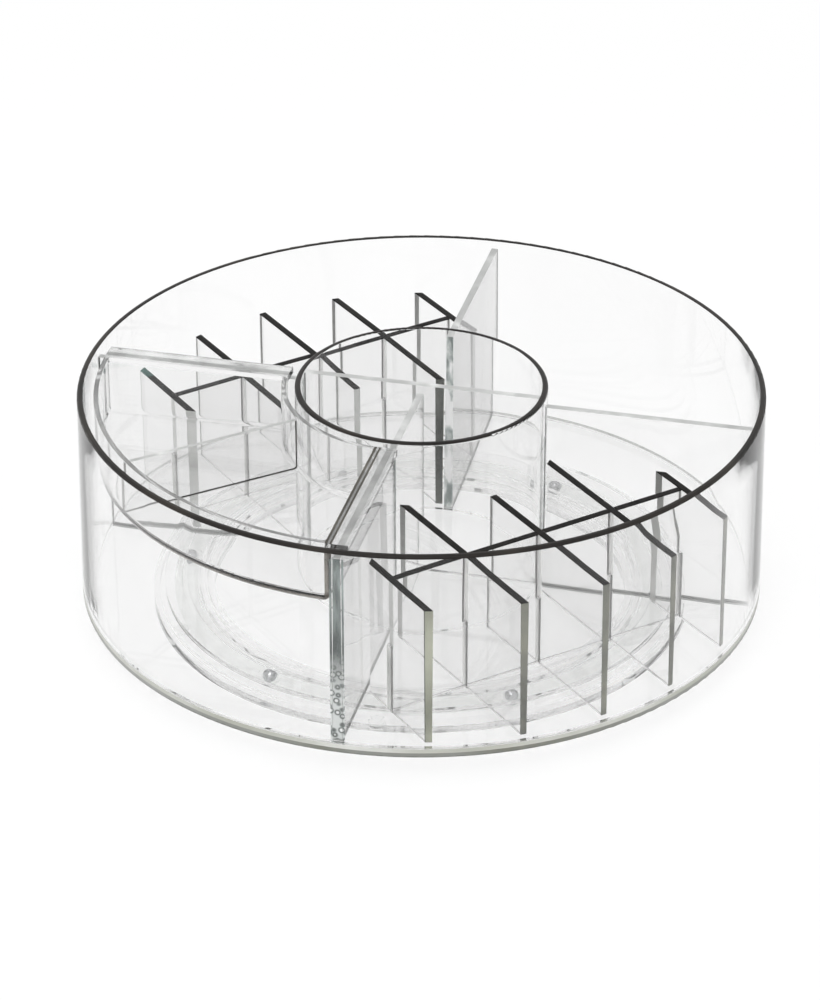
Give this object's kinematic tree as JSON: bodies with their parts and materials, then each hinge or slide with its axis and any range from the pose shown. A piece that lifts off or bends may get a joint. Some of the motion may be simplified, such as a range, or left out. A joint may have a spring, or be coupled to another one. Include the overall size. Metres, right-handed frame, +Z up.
{
  "type": "rotating makeup organizer",
  "caption": "Clear round turntable drum on a ball-bearing base, with partitions, a divided centre cup, lift-out egg-crate dividers and a lift-out bin.",
  "frame": {"origin": "on the table, under the turning axis", "axes": "+Z up along the turning axis, the divider inserts at -Y and +Y, the bin at -X, the open compartment at +X"},
  "size_m": [0.2948, 0.2948, 0.1036],
  "materials": {
    "clear_acrylic": "clear, polished",
    "frosted_plastic": "clear with a light frosting",
    "polished_steel": "polished bearing balls",
    "soft_pads": "soft, translucent grey"
  },
  "bodies": {
    "base": {"base_ring": "clear_acrylic", "base_pads": "soft_pads"},
    "ball_train": {"ball_cage": "frosted_plastic", "bearing_balls": "polished_steel"},
    "drum": {"race_ring": "clear_acrylic", "drum_floor": "clear_acrylic", "drum_wall": "clear_acrylic", "cup": "clear_acrylic", "cup_cross_plate": "clear_acrylic", "cup_stem_plate": "clear_acrylic", "rear_partition": "clear_acrylic", "left_partition": "clear_acrylic", "front_partition": "clear_acrylic", "right_partition": "clear_acrylic"},
    "front_insert": {"front_insert_spine": "clear_acrylic", "front_insert_fin_1": "clear_acrylic", "front_insert_fin_2": "clear_acrylic", "front_insert_fin_3": "clear_acrylic", "front_insert_fin_4": "clear_acrylic", "front_insert_fin_5": "clear_acrylic"},
    "rear_insert": {"rear_insert_spine": "clear_acrylic", "rear_insert_fin_1": "clear_acrylic", "rear_insert_fin_2": "clear_acrylic", "rear_insert_fin_3": "clear_acrylic", "rear_insert_fin_4": "clear_acrylic", "rear_insert_fin_5": "clear_acrylic"},
    "bin": {"bin_tray": "clear_acrylic", "bin_divider": "clear_acrylic"}
  },
  "joints": [
    {"name": "drum_turn", "type": "hinge", "parent": "base", "child": "drum", "pos_m": [0, 0, 0.01], "axis": [0, 0, 1], "continuous": true},
    {"name": "ball_train_turn", "type": "hinge", "parent": "base", "child": "ball_train", "pos_m": [0, 0, 0.0052], "axis": [0, 0, 1], "continuous": true},
    {"name": "front_insert_lift", "type": "slide", "parent": "drum", "child": "front_insert", "axis": [0, 0, 1], "range_m": [0, 0.1]},
    {"name": "rear_insert_lift", "type": "slide", "parent": "drum", "child": "rear_insert", "axis": [0, 0, 1], "range_m": [0, 0.1]},
    {"name": "bin_lift", "type": "slide", "parent": "drum", "child": "bin", "axis": [0, 0, 1], "range_m": [0, 0.07]}
  ],
  "couplings": [
    {"joint": "ball_train_turn", "follows": "drum_turn", "ratio": 0.5}
  ]
}
